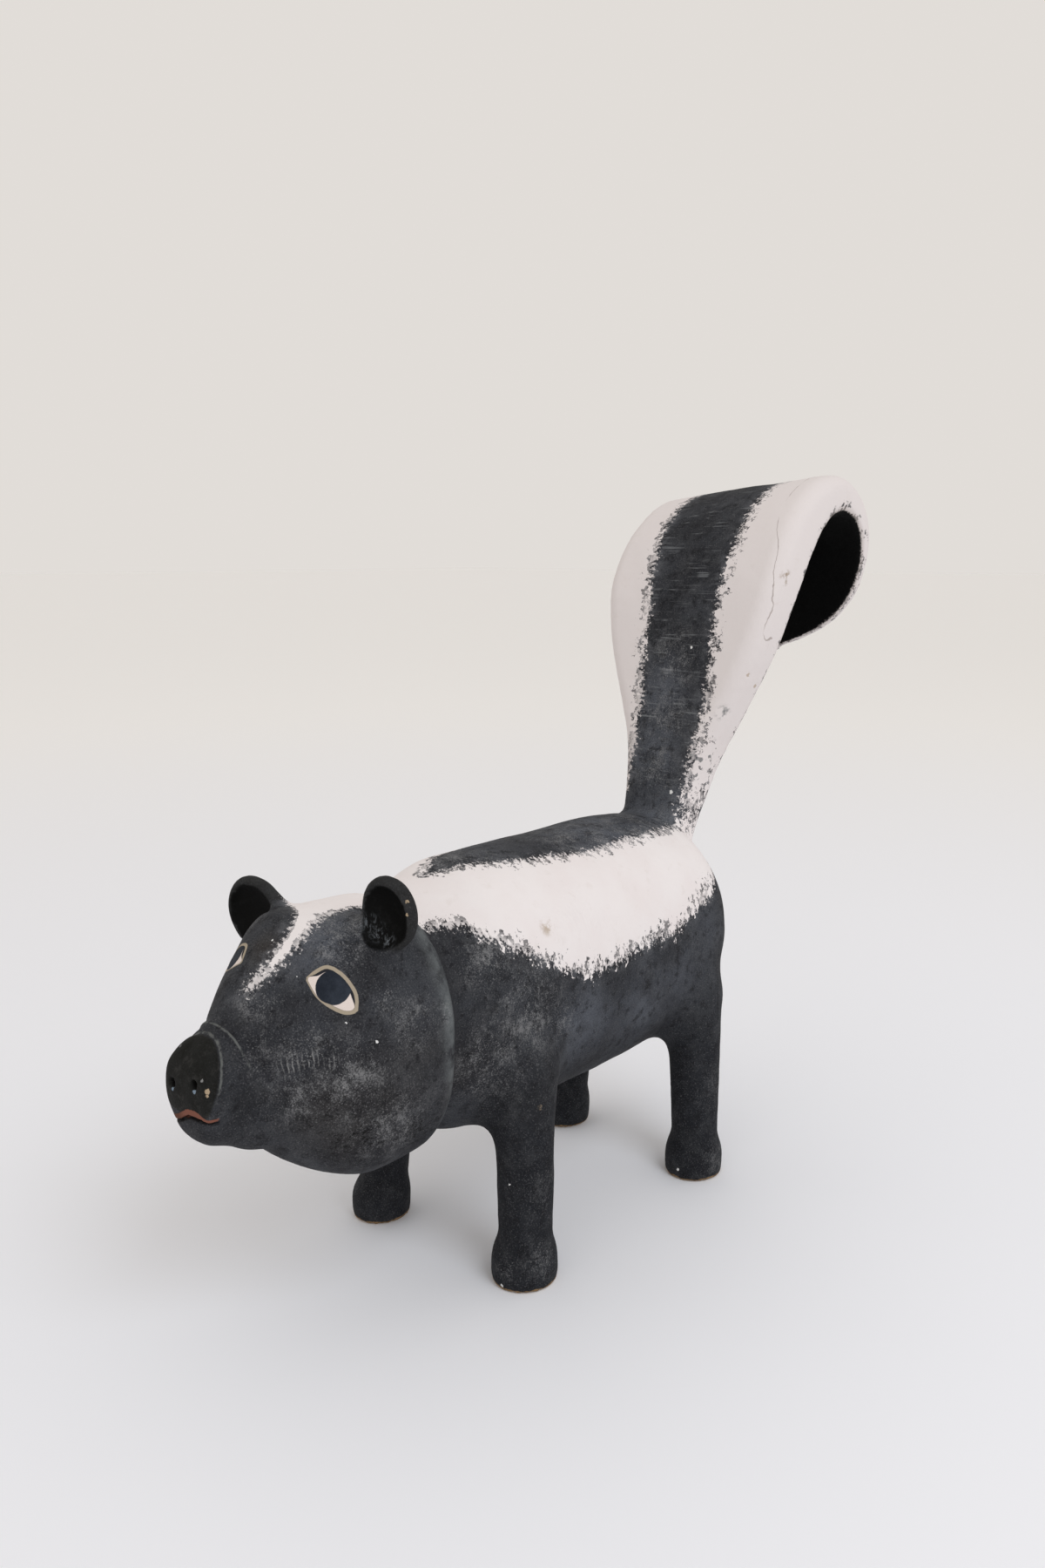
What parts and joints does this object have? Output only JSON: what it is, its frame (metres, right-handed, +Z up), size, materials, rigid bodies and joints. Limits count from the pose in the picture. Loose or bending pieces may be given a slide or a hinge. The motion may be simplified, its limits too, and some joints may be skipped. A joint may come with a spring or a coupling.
{
  "type": "skunk sculpture",
  "caption": "Carved wooden skunk figure with a long muzzle, cupped ears and ball feet, whose tall broad tail curls over to the rear; painted dark with pale bands. Stands on its feet.",
  "frame": {"origin": "on the standing surface, under the middle of the bounding box", "axes": "+Z up, -Y the way the muzzle points, +X the animal's left side"},
  "size_m": [0.1672, 0.5896, 0.5092],
  "materials": {
    "painted_wood": "matte paint over carved wood, off-white bands on charcoal"
  },
  "bodies": {
    "root": {"skunk": "painted_wood"}
  },
  "joints": []
}
